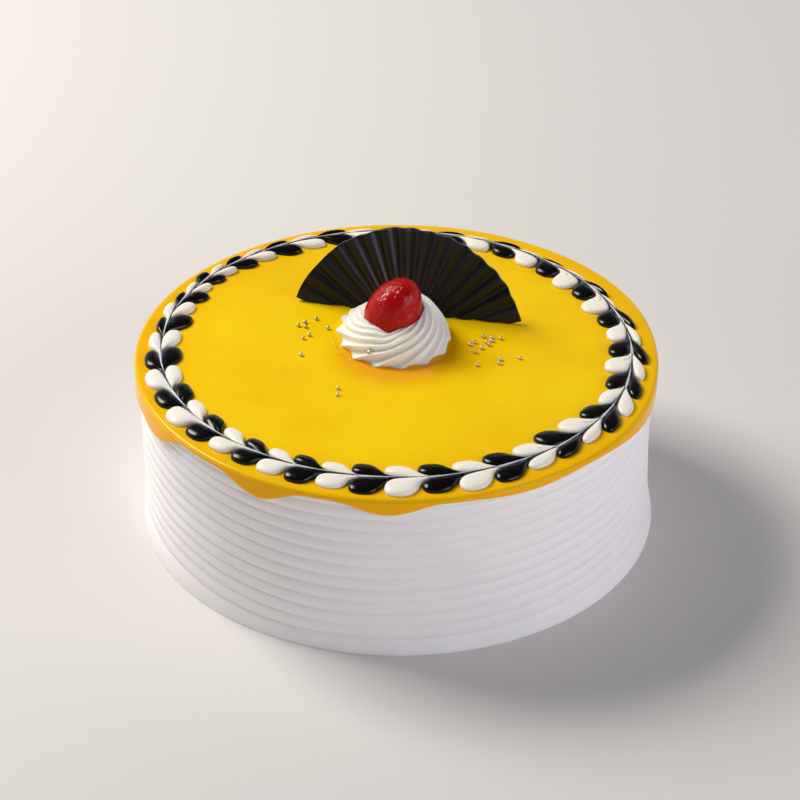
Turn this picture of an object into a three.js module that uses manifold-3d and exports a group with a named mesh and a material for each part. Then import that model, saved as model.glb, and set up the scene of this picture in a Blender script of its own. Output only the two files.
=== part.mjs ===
// A round cherry cake: cream sides combed into level ridges, a yellow glaze that runs over the rim,
// a garland of black and white heart-shaped drops, and a chocolate fan, a cream rosette and a cherry.
//
// Millimetres, +Z up. The origin is on the table under the middle of the cake.
// Azimuths are in degrees, anticlockwise seen from above: 0 is the right, -90 the front, 90 the back.

import * as THREE from 'three'
import { mergeVertices } from 'three/addons/utils/BufferGeometryUtils.js'
import Module from 'manifold-3d'

// The whole cake
const TOP_HEIGHT = 70.6 // surface of the glaze, where every decoration stands
const GLAZE_THICKNESS = 1.6 // on the flat top
const BODY_HEIGHT = TOP_HEIGHT - GLAZE_THICKNESS
const GAP = 0.3 // left between two pieces that meet on a curve
const ROUNDING = 1e-4 // more than a 32-bit number is off by

// The cake is a little flat on its right side, above the foot
const FLAT_SIDE = -3 // azimuth
const FLAT_DEPTH = 1.8

// Combed cream side
const SIDE_RADIUS = 101 // over the crests
const WAIST = 0.5 // how much slimmer the cream is halfway down
const FOOT_SPREAD = 0.4 // how much wider it is where it meets the table
const FIRST_GROOVE = 6.7 // height of the lowest groove
const RIDGE_PITCH = 5.3
const RIDGE_COUNT = 12
const GROOVE_DEPTH = 1.0
const SHOULDER = 0.26 // a ridge's shoulder, as a part of the pitch from its groove
const RIDGE_RISE = 4.4 // the comb was held higher at the two sides than in front and behind
const RISE_FRONT = -93 // azimuth where the ridges run lowest
const BODY_SEGMENTS = 50

// Yellow glaze
const GLAZE_RADIUS = 102.2
const EDGE_HEIGHT = 68 // of the lower edge where no glaze has run
const EDGE_BEAD = 0.5 // how far above its lowest line the hanging edge is fully thick
const RIM_FALL = 0.8 // the rounded rim starts this far below the top,
const RIM_REACH = 1.6 // and ends this far in from the side
const SHORTEST_RUN = 0.1
const GLAZE_SEGMENTS = 84
// Each run of glaze down the side: azimuth of its middle, half its width in degrees, length in mm
const GLAZE_RUNS = [
  { azimuth: -172, halfWidth: 18, length: 8.5 },
  { azimuth: -154, halfWidth: 14, length: 7.5 },
  { azimuth: -120, halfWidth: 11, length: 6 },
  { azimuth: -92, halfWidth: 12, length: 4.3 },
  { azimuth: -62, halfWidth: 16, length: 1.2 },
  { azimuth: -16, halfWidth: 32, length: 5.2 },
  { azimuth: 34, halfWidth: 14, length: 3.6 },
  { azimuth: 72, halfWidth: 15, length: 6.2 },
  { azimuth: 112, halfWidth: 17, length: 3.4 },
  { azimuth: 148, halfWidth: 14, length: 6.4 },
]

// Silver sugar balls
const BALL_RADIUS = 0.8
const BALL_SINK = 0.25 // how deep a ball sits in what it lies on
// Where they were dropped on the glaze: x, y
const BALL_PLACES = [
  [-39.5, 18], [-37, 20.7], [-36.7, 17.2], [-32.7, 23.3],
  [-27.8, 16], [-35, 11], [-37.3, 8.5], [-37.7, -4],
  [-23, -28.2], [-23, -32.8],
  [33, 10.3], [36.3, 9.5], [36.3, 7.1], [39.8, 8.8],
  [34.2, 6], [35.2, 4.2], [29.5, 6], [27.7, 4.3],
  [32.2, 1.8], [29.5, -1.2], [46.7, -5.7], [39.3, -6.7],
  [38.7, -9.5], [30.2, -10.8],
]

// Garland of heart-shaped drops
const DROP_COUNT = 48
const DROP_HEIGHT = 2.6
const DROP_GAP = 0.4 // between one drop and the next
const HEIGHT_JITTER = 0.1
const CREASE_DEPTH = 0.4 // of the height, along the line on which the two lobes meet
const CREASE_WIDTH = 1.6
const FIRST_EDGE = -171.9 // azimuth where the first drop starts, before the drift
// What changes round the cake has a mean and waves: the first goes once round, the next twice, and so
// on. Each wave is its height and the angle of its crest.
const SPACING_DRIFT = { mean: 0, waves: [[5.3, -152], [1.6, 178], [1.6, 123], [1.2, 118], [0.4, 104]] }
const LINE_RADIUS = { mean: 91.4, waves: [[2, 119], [0.7, -103]] }
// How far the lobes reach from the line
const OUTER_REACH = { mean: 5.5, waves: [[3.5, -100], [0.1, -165], [0.4, -59]] }
const INNER_REACH = { mean: 7.9, waves: [[1.4, -11], [0.2, -19], [0.5, -148]] }
const OUTER_LAG = { mean: 2.3, waves: [[3.9, 13], [0.9, 83]] } // how far back a lobe lies
const INNER_LAG = { mean: 1.6, waves: [[1.2, -157], [0.7, -127]] }
const LAG_DISTANCE = 6 // from the line, where the lag has these values
const BLACK_LARGER = 0.3 // the black drops reach this much farther both ways, the white ones less
const REACH_JITTER = 0.3
// Drops that came out uneven, by index: how much farther their outer and inner lobes reach
const UNEVEN_DROPS = {
  0: [0, 1], 1: [1, 0], 3: [1.5, 0], 5: [-1, 0], 6: [-1, 0],
  10: [1, 0.8], 11: [2, 0], 13: [2, 0], 15: [-1, 0], 16: [-1.5, 1.5], 17: [-1.5, 1.5],
  18: [0, -1], 19: [1, -2], 20: [0, -1.5], 21: [0, 1.5], 22: [1, 0],
  25: [-1, 2.5], 27: [0, 2.5], 28: [-1, 0], 30: [0.5, -1.5], 31: [0, -1],
  38: [0, 1], 41: [0, -1.5], 42: [1, -1], 43: [0, -1.5], 44: [-1, 1], 46: [-1.5, 2],
}
const SHORTEST_REACH = 1.8
const TAIL_LENGTH = 6.6 // of the tail in which the two lobes end, drawn forward along the line
const TAIL_REACH = 1.6 // to each side of the line
// The outline of a lobe is squarer along the garland than across it
const ALONG_POWER = 0.74
const ACROSS_POWER = 0.75
const DROP_SIDES = 16
// A drop's section before it is shaped: size, height
const DROP_SECTION = [
  [0, 0],
  [1, 0],
  [0.88, 0.56],
  [0.5, 1],
  [0, 1],
]

// Chocolate fan
const FAN_MIDDLE = { x: 3.6, y: 29.1 } // of its foot on the glaze
const FAN_TURN = -11.4
const FAN_LEAN = 14 // backward
const FAN_RADIUS = 48
const FAN_BURIED = 13.3 // the point where the pleats meet lies this far below the foot
const FAN_END = 18.1 // angle of the first and the last pleat above the foot
const FAN_THICKNESS = 1.4
const PLEAT_COUNT = 16
const PLEAT_DEPTH = 0.9 // each way, at the rim
const PLEAT_START = 0.1 // the pleats grow to that depth over this part of the fan, from each end

// Glazed cherry
const CHERRY_RADIUS = 11.2
const CHERRY_HEIGHT = 12 // of its widest part above the glaze
const CHERRY_CROWN = 1.29 // how much taller its upper half is than half a ball
const CHERRY_LEAN = 3 // how far its top leans to the right
const CHERRY_SHOULDER = 0.3 // how much fuller its upper half is on the right, as a power
const CHERRY_DENT = 0.1 // how deep the flat on its upper half is, as a part of its radius
const DENT_SIDE = 180
const CHERRY_SEGMENTS = 18
const CHERRY_ROWS = 10

// Cream rosette
const ROSETTE_MIDDLE = { x: -2.2, y: 7.7 }
const FOOT_CREAM = 1.3 // the pleats are this much deeper where the cream meets them than at the foot
const RIDGE_TIPS = 13
const RIDGE_TWIST = 136.7 // a ridge turns clockwise by this much from the socket out to the foot
const RIDGE_CUT = { crest: 0.35, foot: 1.4 } // how far a ridge stands out each way
const RIDGE_SLANT = 37 // the way it stands out, above level
const RIDGE_STEPS = 4 // facets from one ridge to the next
const ROSETTE_ROWS = 13
// Half a section of the rosette, from its foot up to the crest round the socket: radius, height
const ROSETTE_SECTION = [
  [20, 0],
  [19.6, 1.4],
  [18.2, 5],
  [16, 8.6],
  [13.8, 11.2],
  [11.9, 12.2],
]
// The piping ended on this side: the crest is higher there, and the flank fuller
const END_SIDE = 40
const END_RISE = 4.2
const END_BULGE = 2.4
const END_WIDTH = 3 // a power: the higher, the narrower
// It began on this side, where the foot spreads
const START_SIDE = 148
const START_SPREAD = 5.8
const START_WIDTH = 14 // a power, too
const START_DROP = 0.3 // how much lower the crest is there
const START_TURN = 8 // how much farther the ridges have turned there, at the foot
// The foot lies a little toward this side
const FOOT_SIDE = -40
const FOOT_SHIFT = 0.9
// Where the cherry has pressed the crest down
const PRESSED_SIDE = -100
const PRESSED_DEPTH = 1.8
const PRESSED_WIDTH = 16 // in degrees
const ROSETTE_BALL = { azimuth: -119.2, distance: 18.3, height: 4.3, radius: 1.1 }

const wasm = await Module()
wasm.setup()

const radians = THREE.MathUtils.degToRad
const { smoothstep, lerp } = THREE.MathUtils

// The way round from one azimuth to another, -180 to 180
function azimuthBetween(from, to) {
  return THREE.MathUtils.euclideanModulo(to - from + 180, 360) - 180
}

// The value at an azimuth of what changes round the cake
function roundTheCake({ mean, waves }, azimuth) {
  let value = mean
  waves.forEach(([height, crest], order) => {
    value += height * Math.cos(radians((order + 1) * azimuth - crest))
  })
  return value
}

// A number from -1 to 1 that looks random and is always the same for the same drop and purpose
function jitter(index, purpose) {
  const [indexStep, purposeStep, stretch] = [12.9898, 78.233, 43758.5453]
  const wave = Math.sin(index * indexStep + purpose * purposeStep) * stretch
  return 2 * (wave - Math.floor(wave)) - 1
}

// One closed surface with shared corners, without the triangles that shrink to a line on the axis
function closed(geometry) {
  geometry.deleteAttribute('normal')
  geometry.deleteAttribute('uv')
  const merged = mergeVertices(geometry)
  const corners = merged.index.array
  const kept = []
  for (let i = 0; i < corners.length; i += 3) {
    const [a, b, c] = corners.slice(i, i + 3)
    if (a !== b && b !== c && c !== a) {
      kept.push(a, b, c)
    }
  }
  merged.setIndex(kept)
  return merged
}

// A solid turned about Z. The outline holds [radius, height] corners from the axis at the bottom,
// round the outside, to the axis at the top.
function turned(outline, segments) {
  const corners = outline.map(([radius, height]) => new THREE.Vector2(radius, height))
  const geometry = new THREE.LatheGeometry(corners, segments)
  geometry.rotateX(Math.PI / 2)
  return closed(geometry)
}

// Moves each corner of a geometry to where the rule puts it
function reshape(geometry, rule) {
  const position = geometry.getAttribute('position')
  const corner = new THREE.Vector3()
  for (let i = 0; i < position.count; i += 1) {
    corner.fromBufferAttribute(position, i)
    rule(corner)
    position.setXYZ(i, corner.x, corner.y, corner.z)
  }
  return geometry
}

function azimuthOf(corner) {
  return THREE.MathUtils.radToDeg(Math.atan2(corner.y, corner.x))
}

function asManifold(geometry) {
  const vertProperties = Float32Array.from(geometry.getAttribute('position').array)
  const triVerts = Uint32Array.from(geometry.index.array)
  return new wasm.Manifold(new wasm.Mesh({ numProp: 3, vertProperties, triVerts }))
}

function asGeometry(manifold) {
  const { vertProperties, triVerts } = manifold.getMesh()
  const geometry = new THREE.BufferGeometry()
  geometry.setAttribute('position', new THREE.BufferAttribute(vertProperties, 3))
  geometry.setIndex(new THREE.BufferAttribute(triVerts, 1))
  return geometry
}

// Joins sugar balls to the piece they are pressed into
function withBalls(geometry, places, radius) {
  let solid = asManifold(geometry)
  for (const place of places) {
    const ball = new THREE.IcosahedronGeometry(radius, 0)
    ball.translate(place.x, place.y, place.z)
    solid = solid.add(asManifold(closed(ball)))
  }
  return asGeometry(solid)
}

function piece(name, geometry, color, roughness, metalness = 0) {
  const material = new THREE.MeshStandardMaterial({ color, roughness, metalness })
  const mesh = new THREE.Mesh(geometry, material)
  mesh.name = name
  return mesh
}

// How much nearer the middle the side lies there than on a round cake
function flattening(azimuth, height) {
  const facing = Math.max(0, Math.cos(radians(azimuth - FLAT_SIDE)))
  return FLAT_DEPTH * facing ** 10 * smoothstep(height, 0, 14)
}

// Moves a corner toward the axis by an amount
function drawIn(corner, amount) {
  const radius = Math.hypot(corner.x, corner.y)
  if (radius > SIDE_RADIUS / 2) {
    corner.x *= (radius - amount) / radius
    corner.y *= (radius - amount) / radius
  }
}

// Cream body: a drum whose side the comb has left in broad ridges with narrow grooves between them

function ridgeRise(height, azimuth) {
  const offFloor = smoothstep(height, 0, 14)
  const belowRim = 1 - smoothstep(height, 52, BODY_HEIGHT - 2)
  return RIDGE_RISE * offFloor * belowRim * Math.sin(radians(azimuth - RISE_FRONT)) ** 2
}

function bodyOutline() {
  const foot = SIDE_RADIUS + FOOT_SPREAD
  const crest = (height) => SIDE_RADIUS - WAIST * Math.sin((Math.PI * height) / BODY_HEIGHT)
  const outline = [
    [0, 0],
    [foot, 0],
    [foot + 0.2, 2],
    [foot - 0.2, FIRST_GROOVE - SHOULDER * RIDGE_PITCH],
  ]
  for (let ridge = 0; ridge < RIDGE_COUNT; ridge += 1) {
    const groove = FIRST_GROOVE + ridge * RIDGE_PITCH
    outline.push([crest(groove) - GROOVE_DEPTH, groove])
    if (ridge < RIDGE_COUNT - 1) {
      const lower = groove + SHOULDER * RIDGE_PITCH
      const upper = groove + (1 - SHOULDER) * RIDGE_PITCH
      outline.push([crest(lower), lower])
      outline.push([crest(upper), upper])
    }
  }
  outline.push([SIDE_RADIUS, BODY_HEIGHT - 2.2])
  outline.push([SIDE_RADIUS - 0.8, BODY_HEIGHT - 0.5])
  outline.push([SIDE_RADIUS - 2.4, BODY_HEIGHT])
  outline.push([0, BODY_HEIGHT])
  return outline
}

function cakeBody() {
  const geometry = turned(bodyOutline(), BODY_SEGMENTS)
  reshape(geometry, (corner) => {
    const azimuth = azimuthOf(corner)
    drawIn(corner, flattening(azimuth, corner.z))
    corner.z += ridgeRise(corner.z, azimuth)
  })
  return piece('cake_body', geometry, 0xf4f1ee, 0.6)
}

// Glaze: a skin over the top and the rim whose lower edge hangs in runs of uneven length

function runLength(azimuth) {
  let length = SHORTEST_RUN
  for (const run of GLAZE_RUNS) {
    const away = Math.abs(azimuthBetween(run.azimuth, azimuth)) / run.halfWidth
    if (away < 1) {
      length += run.length * Math.cos((away * Math.PI) / 2) ** 2
    }
  }
  return length
}

function glazeOutline() {
  const inner = SIDE_RADIUS + GAP
  const thinEdge = (inner + GLAZE_RADIUS) / 2
  return [
    [0, BODY_HEIGHT],
    [SIDE_RADIUS - 2.1, BODY_HEIGHT],
    [SIDE_RADIUS - 0.3, BODY_HEIGHT - 0.05],
    [inner, BODY_HEIGHT - 0.35],
    [inner, EDGE_HEIGHT + EDGE_BEAD],
    [thinEdge, EDGE_HEIGHT],
    [GLAZE_RADIUS, EDGE_HEIGHT + EDGE_BEAD],
    [GLAZE_RADIUS, EDGE_HEIGHT + EDGE_BEAD + 0.2],
    [GLAZE_RADIUS - RIM_REACH / 6, TOP_HEIGHT - RIM_FALL],
    [GLAZE_RADIUS - RIM_REACH / 2, TOP_HEIGHT - RIM_FALL / 3],
    [GLAZE_RADIUS - RIM_REACH, TOP_HEIGHT],
    [0, TOP_HEIGHT],
  ]
}

function yellowGlaze() {
  const geometry = turned(glazeOutline(), GLAZE_SEGMENTS)
  reshape(geometry, (corner) => {
    const azimuth = azimuthOf(corner)
    const isOutside = Math.hypot(corner.x, corner.y) > SIDE_RADIUS
    const hangs = isOutside && corner.z < EDGE_HEIGHT + EDGE_BEAD + ROUNDING
    drawIn(corner, flattening(azimuth, corner.z))
    if (hangs) {
      corner.z -= runLength(azimuth)
    }
  })
  const ballHeight = TOP_HEIGHT + BALL_RADIUS - BALL_SINK
  const places = BALL_PLACES.map(([x, y]) => new THREE.Vector3(x, y, ballHeight))
  return piece('yellow_glaze', withBalls(geometry, places, BALL_RADIUS), 0xf6c91a, 0.25)
}

// Garland: each drop is a heart, two domed lobes that meet in a crease, with its tail drawn forward
// into the next drop. Neighbours share one curved boundary, with a gap between them.

// Azimuth of the boundary between a drop and the one before it
function dropEdge(index) {
  const evenly = (360 * index) / DROP_COUNT
  return FIRST_EDGE + evenly + roundTheCake(SPACING_DRIFT, evenly)
}

// How far forward a boundary lies at a distance from the line; negative distances are inward
function boundaryShift(azimuth, distance) {
  const away = Math.abs(distance)
  const lag = roundTheCake(distance > 0 ? OUTER_LAG : INNER_LAG, azimuth)
  return TAIL_LENGTH * Math.max(0, 1 - away / TAIL_REACH) - (lag * away) / LAG_DISTANCE
}

// Distance from the line of a corner that is this share of the way from the line to a lobe's tip. The
// first corner off the line lies where every tail begins, so that neighbours fit.
function fromLine(share, reach) {
  const firstShare = Math.sin(radians(360 / DROP_SIDES)) ** ACROSS_POWER
  const isOnLine = share < ROUNDING
  return isOnLine ? 0 : lerp(TAIL_REACH, reach, (share - firstShare) / (1 - firstShare))
}

function heartDrop(index) {
  const start = dropEdge(index)
  const end = dropEdge(index + 1)
  const middle = (start + end) / 2
  const halfLength = (end - start) / 2
  const isBlack = index % 2 === 0
  const larger = isBlack ? BLACK_LARGER : -BLACK_LARGER
  const [moreOuter, moreInner] = UNEVEN_DROPS[index] ?? [0, 0]
  const outerReach = roundTheCake(OUTER_REACH, middle) + larger + moreOuter
  const innerReach = roundTheCake(INNER_REACH, middle) + larger + moreInner
  const outer = Math.max(SHORTEST_REACH, outerReach + REACH_JITTER * jitter(index, 1))
  const inner = Math.max(SHORTEST_REACH, innerReach + REACH_JITTER * jitter(index, 2))
  const height = DROP_HEIGHT * (1 + HEIGHT_JITTER * jitter(index, 3))
  const geometry = turned(DROP_SECTION, DROP_SIDES)
  reshape(geometry, (corner) => {
    const size = Math.hypot(corner.x, corner.y)
    const part = size > 0 ? size : 1
    const along = size * Math.sign(corner.y) * Math.abs(corner.y / part) ** ALONG_POWER
    const share = Math.abs(corner.x / part) ** ACROSS_POWER
    const distance = size * Math.sign(corner.x) * fromLine(share, corner.x > 0 ? outer : inner)
    const place = middle + along * halfLength
    const line = roundTheCake(LINE_RADIUS, place)
    const forward = boundaryShift(place, distance) - (along * DROP_GAP) / 2
    const azimuth = radians(place) + forward / line
    const crease = 1 - CREASE_DEPTH * Math.exp(-((distance / CREASE_WIDTH) ** 2))
    corner.z = TOP_HEIGHT + corner.z * height * crease
    corner.x = (line + distance) * Math.cos(azimuth)
    corner.y = (line + distance) * Math.sin(azimuth)
  })
  const name = `drop_${String(index + 1).padStart(2, '0')}_${isBlack ? 'black' : 'white'}`
  return isBlack ? piece(name, geometry, 0x15130f, 0.08) : piece(name, geometry, 0xf1ecdf, 0.3)
}

function garland() {
  const drops = new THREE.Group()
  for (let index = 0; index < DROP_COUNT; index += 1) {
    drops.add(heartDrop(index))
  }
  return drops
}

// Fan: a folded half disc of chocolate whose foot stands on the glaze

function chocolateFan() {
  const turn = radians(FAN_TURN)
  const lean = radians(FAN_LEAN)
  const along = new THREE.Vector3(Math.cos(turn), Math.sin(turn), 0)
  const backward = new THREE.Vector3(-Math.sin(turn), Math.cos(turn), 0)
  const up = new THREE.Vector3(0, 0, Math.cos(lean)).addScaledVector(backward, Math.sin(lean))
  const through = new THREE.Vector3().crossVectors(up, along)
  const foot = new THREE.Vector3(FAN_MIDDLE.x, FAN_MIDDLE.y, TOP_HEIGHT)
  const meeting = foot.clone().addScaledVector(up, -FAN_BURIED)
  const flat = new THREE.BoxGeometry(1, 1, 1, PLEAT_COUNT * 2, 3, 1)
  reshape(flat, (corner) => {
    const acrossFan = corner.x + 0.5
    const angle = radians(lerp(180 - FAN_END, FAN_END, acrossFan))
    const fromFoot = corner.y + 0.5
    const radius = lerp(FAN_BURIED / Math.sin(angle), FAN_RADIUS, fromFoot)
    const fromEnd = Math.min(acrossFan, 1 - acrossFan)
    const fold = -Math.cos(2 * Math.PI * PLEAT_COUNT * acrossFan) * Math.min(1, fromEnd / PLEAT_START)
    const offset = (fold * PLEAT_DEPTH * radius) / FAN_RADIUS + corner.z * FAN_THICKNESS
    corner.copy(meeting)
    corner.addScaledVector(along, radius * Math.cos(angle))
    corner.addScaledVector(up, radius * Math.sin(angle) - offset * Math.tan(lean) * (1 - fromFoot))
    corner.addScaledVector(through, -offset)
    if (fromFoot === 0) {
      corner.z = TOP_HEIGHT
    }
  })
  return piece('chocolate_fan', closed(flat), 0x1f1712, 0.35)
}

// Rosette: a ring of cream from a star nozzle, its ridges winding out from the socket of the cherry

// 1 on the named side of the rosette, 0 on the opposite side
function towardSide(azimuth, side) {
  return (1 + Math.cos(radians(azimuth - side))) / 2
}

function rosetteOutline() {
  const corners = ROSETTE_SECTION.map(([radius, height]) => new THREE.Vector2(radius, height))
  const section = new THREE.SplineCurve(corners)
  const outside = section.getPoints(ROSETTE_ROWS).map((point) => [point.x, point.y])
  const socket = CHERRY_RADIUS + GAP
  const inside = []
  for (let row = CHERRY_ROWS / 2 - 1; row >= 0; row -= 1) {
    const angle = (Math.PI * row) / CHERRY_ROWS
    inside.push([socket * Math.sin(angle), CHERRY_HEIGHT - socket * Math.cos(angle)])
  }
  return [[0, 0], ...outside, ...inside]
}

// The cream behind the cherry is flat where it meets the pleats
function pressAgainstFan(corner) {
  const backward = radians(90 + FAN_TURN)
  const toFan = new THREE.Vector3(FAN_MIDDLE.x - ROSETTE_MIDDLE.x, FAN_MIDDLE.y - ROSETTE_MIDDLE.y, 0)
  const normal = new THREE.Vector3(Math.cos(backward), Math.sin(backward), 0)
  const pleats = FAN_THICKNESS / 2 + (PLEAT_DEPTH * FAN_BURIED * FOOT_CREAM) / FAN_RADIUS
  const beyond = corner.dot(normal) - (toFan.dot(normal) - pleats - GAP)
  corner.addScaledVector(normal, -Math.max(0, beyond))
}

function creamRosette() {
  const [foot] = ROSETTE_SECTION[0]
  const [crest, crestHeight] = ROSETTE_SECTION.at(-1)
  const socket = crest - 0.1 // nearer the middle than this, nothing is ridged
  const geometry = turned(rosetteOutline(), RIDGE_TIPS * RIDGE_STEPS)
  reshape(geometry, (corner) => {
    const radius = Math.hypot(corner.x, corner.y)
    const outward = Math.max(0, (radius - crest) / (foot - crest))
    const upward = radius > socket ? corner.z / crestHeight : 0
    const isFlank = upward > 0
    const azimuth = azimuthOf(corner)
    const twisted = azimuth - RIDGE_TWIST * outward
    const ended = towardSide(twisted, END_SIDE) ** END_WIDTH
    const began = towardSide(twisted, START_SIDE)
    const wave = 1 - 2 * Math.abs(Math.sin(radians((RIDGE_TIPS * azimuth) / 2)))
    const ridge = isFlank ? lerp(RIDGE_CUT.crest, RIDGE_CUT.foot, outward ** 2) * wave : 0
    const shift = FOOT_SHIFT * Math.cos(radians(twisted - FOOT_SIDE))
    const spread = outward * shift + outward ** 2 * START_SPREAD * began ** START_WIDTH
    const bulge = isFlank ? END_BULGE * ended * Math.sin((Math.PI * (1 + 4 * upward)) / 6) : 0
    const standsOut = Math.max(ridge, -outward) * Math.cos(radians(RIDGE_SLANT))
    const standsUp = ridge * Math.sin(radians(RIDGE_SLANT)) * smoothstep(corner.z, 0, 3)
    const pressed = Math.exp(-((azimuthBetween(PRESSED_SIDE, twisted) / PRESSED_WIDTH) ** 2))
    const lift = END_RISE * ended - START_DROP * began ** 4 - PRESSED_DEPTH * pressed
    const reach = radius + standsOut + spread + bulge
    const final = radians(twisted - START_TURN * outward * began ** 4)
    corner.x = reach * Math.cos(final)
    corner.y = reach * Math.sin(final)
    corner.z += TOP_HEIGHT + upward ** 2 * lift + standsUp
    pressAgainstFan(corner)
    corner.x += ROSETTE_MIDDLE.x
    corner.y += ROSETTE_MIDDLE.y
  })
  const ball = new THREE.Vector3(
    ROSETTE_MIDDLE.x + ROSETTE_BALL.distance * Math.cos(radians(ROSETTE_BALL.azimuth)),
    ROSETTE_MIDDLE.y + ROSETTE_BALL.distance * Math.sin(radians(ROSETTE_BALL.azimuth)),
    TOP_HEIGHT + ROSETTE_BALL.height,
  )
  return piece('cream_rosette', withBalls(geometry, [ball], ROSETTE_BALL.radius), 0xf7f3ee, 0.55)
}

// Cherry: half a ball below, drawn up to a blunt crown that leans to one side, with a flat on the other

function cherry() {
  const ball = new THREE.SphereGeometry(CHERRY_RADIUS, CHERRY_SEGMENTS, CHERRY_ROWS)
  ball.rotateX(Math.PI / 2)
  const geometry = reshape(closed(ball), (corner) => {
    const up = Math.max(0, corner.z / CHERRY_RADIUS)
    const dent = CHERRY_DENT * up * towardSide(azimuthOf(corner), DENT_SIDE) ** 2
    const nearAxis = Math.sqrt(Math.max(ROUNDING, 1 - up ** 2))
    const fullness = nearAxis ** (-CHERRY_SHOULDER * towardSide(azimuthOf(corner), DENT_SIDE + 180))
    corner.x = corner.x * (1 - dent) * fullness + CHERRY_LEAN * up ** 2
    corner.y *= (1 - dent) * fullness
    corner.z *= up > 0 ? CHERRY_CROWN : 1
  })
  const mesh = piece('cherry', geometry, 0xa80f10, 0.15)
  mesh.position.set(ROSETTE_MIDDLE.x, ROSETTE_MIDDLE.y, TOP_HEIGHT + CHERRY_HEIGHT)
  return mesh
}

const cake = new THREE.Group()
cake.add(cakeBody(), yellowGlaze(), garland(), chocolateFan(), creamRosette(), cherry())

export default cake
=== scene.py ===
# %% [markdown]
# # A cherry cake, dressed in Blender
#
# The cake comes in as plain solids, one for each thing a pastry cook puts on it. This lesson gives
# every one of them its real surface: cream combed into ridges, set fruit glaze, drops of icing,
# a chocolate fan, a piped rosette and a candied cherry. Lengths are written in millimetres, as on
# a ruler, and turned to Blender's metres in one place only, where a mesh is made.

# %% Load the solids and keep the size of their box
import math

import bpy
import numpy as np
from mathutils import Matrix, Vector


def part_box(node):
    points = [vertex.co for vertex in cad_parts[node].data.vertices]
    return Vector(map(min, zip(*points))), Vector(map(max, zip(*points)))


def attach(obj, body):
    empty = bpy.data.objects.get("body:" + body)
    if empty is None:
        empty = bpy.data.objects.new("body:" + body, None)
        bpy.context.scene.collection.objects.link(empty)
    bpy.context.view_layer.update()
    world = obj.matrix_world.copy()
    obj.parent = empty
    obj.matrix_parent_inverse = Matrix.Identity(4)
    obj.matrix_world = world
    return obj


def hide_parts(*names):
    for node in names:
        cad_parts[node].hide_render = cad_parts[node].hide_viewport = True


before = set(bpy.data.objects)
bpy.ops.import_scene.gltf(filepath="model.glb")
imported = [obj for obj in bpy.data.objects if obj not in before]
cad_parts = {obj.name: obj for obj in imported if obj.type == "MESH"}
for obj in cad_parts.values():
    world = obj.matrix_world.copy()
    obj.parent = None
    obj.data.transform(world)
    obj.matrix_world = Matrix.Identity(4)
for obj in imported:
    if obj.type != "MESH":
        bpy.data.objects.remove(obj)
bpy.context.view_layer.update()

# %% [markdown]
# ## Colours and nodes
#
# A colour picked from a screen is an sRGB hex value, but a renderer adds light in linear numbers,
# so one function turns the first into the second. A material is a small graph of nodes, and one
# more function adds a node with its settings and links, which keeps each recipe short to read.

# %% Two helpers for every material


def linear(hex_colour):
    channels = [int(hex_colour[place : place + 2], 16) / 255 for place in (1, 3, 5)]
    return [c / 12.92 if c <= 0.04045 else ((c + 0.055) / 1.055) ** 2.4 for c in channels] + [1.0]


def add(material, kind, settings=None, links=None):
    """Adds a node. A setting is one of its own properties or the value of an input; a link is an output."""
    node = material.node_tree.nodes.new(kind)
    for name, value in (settings or {}).items():
        if isinstance(name, str) and hasattr(node, name):
            setattr(node, name, value)
        else:
            node.inputs[name].default_value = value
    for name, output in (links or {}).items():
        material.node_tree.links.new(output, node.inputs[name])
    return node


def new_material(name):
    material = bpy.data.materials.new(name)
    material.use_nodes = True
    material.node_tree.nodes.clear()
    return material


def finish_material(material, settings, links):
    """Ends a recipe with the surface itself and the material's output."""
    surface = add(material, "ShaderNodeBsdfPrincipled", settings, links)
    add(material, "ShaderNodeOutputMaterial", {}, {"Surface": surface.outputs["BSDF"]})
    print("material:", material.name)


print("light orange is", [round(c, 3) for c in linear("#f6b845")])

# %% [markdown]
# ## Sizes
#
# The heights come from the solids, so a dressed piece sits exactly where its plain one is. The
# cake is a little flat on its right side, and both the cream and the glaze follow that.

# %% Common sizes, in millimetres
MM = 0.001
GLAZE_THICKNESS = 1.6
body_low, body_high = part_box("cake_body")
BODY_HEIGHT = body_high[2] / MM
TOP = BODY_HEIGHT + GLAZE_THICKNESS  # surface of the glaze, where every decoration stands
SIDE_RADIUS = 101.0
FLAT_SIDE = -3  # azimuth, anticlockwise from the right
FLAT_DEPTH = 1.8
print("top of the glaze:", round(TOP, 2), "mm")


def smoothstep(value, low, high):
    part = np.clip((value - low) / (high - low), 0, 1)
    return part * part * (3 - 2 * part)


def facing(azimuth, side):
    """1 on that side of the cake, 0 on the opposite one; both in degrees."""
    return (1 + np.cos(np.radians(azimuth - side))) / 2


def flattening(azimuth, height):
    toward = np.maximum(0, np.cos(np.radians(azimuth - FLAT_SIDE)))
    return FLAT_DEPTH * toward**10 * smoothstep(height, 0, 14)


def round_the_cake(change, azimuth):
    """A value that changes gently round the cake: its mean, then the height and crest of each wave."""
    mean, waves = change
    total = mean + 0 * azimuth
    for order, (height, crest) in enumerate(waves):
        total = total + height * np.cos(np.radians((order + 1) * azimuth - crest))
    return total


def round_points(radius, azimuth, height):
    """Points from radius, azimuth in degrees and height."""
    angle = np.radians(azimuth)
    return np.stack([radius * np.cos(angle), radius * np.sin(angle), height + 0 * angle], axis=-1)


# %% [markdown]
# ## Skins
#
# Nearly everything on this cake is a closed skin that winds round an upright axis, so one
# function knits rows of points into a mesh. Each row runs round the axis, the rows climb from a
# point at the bottom to a point at the top, and the knit also lays a flat map of the skin in
# metres, along and up, for patterns that have to follow the surface.

# %% Knit rows of points into a piece


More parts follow.
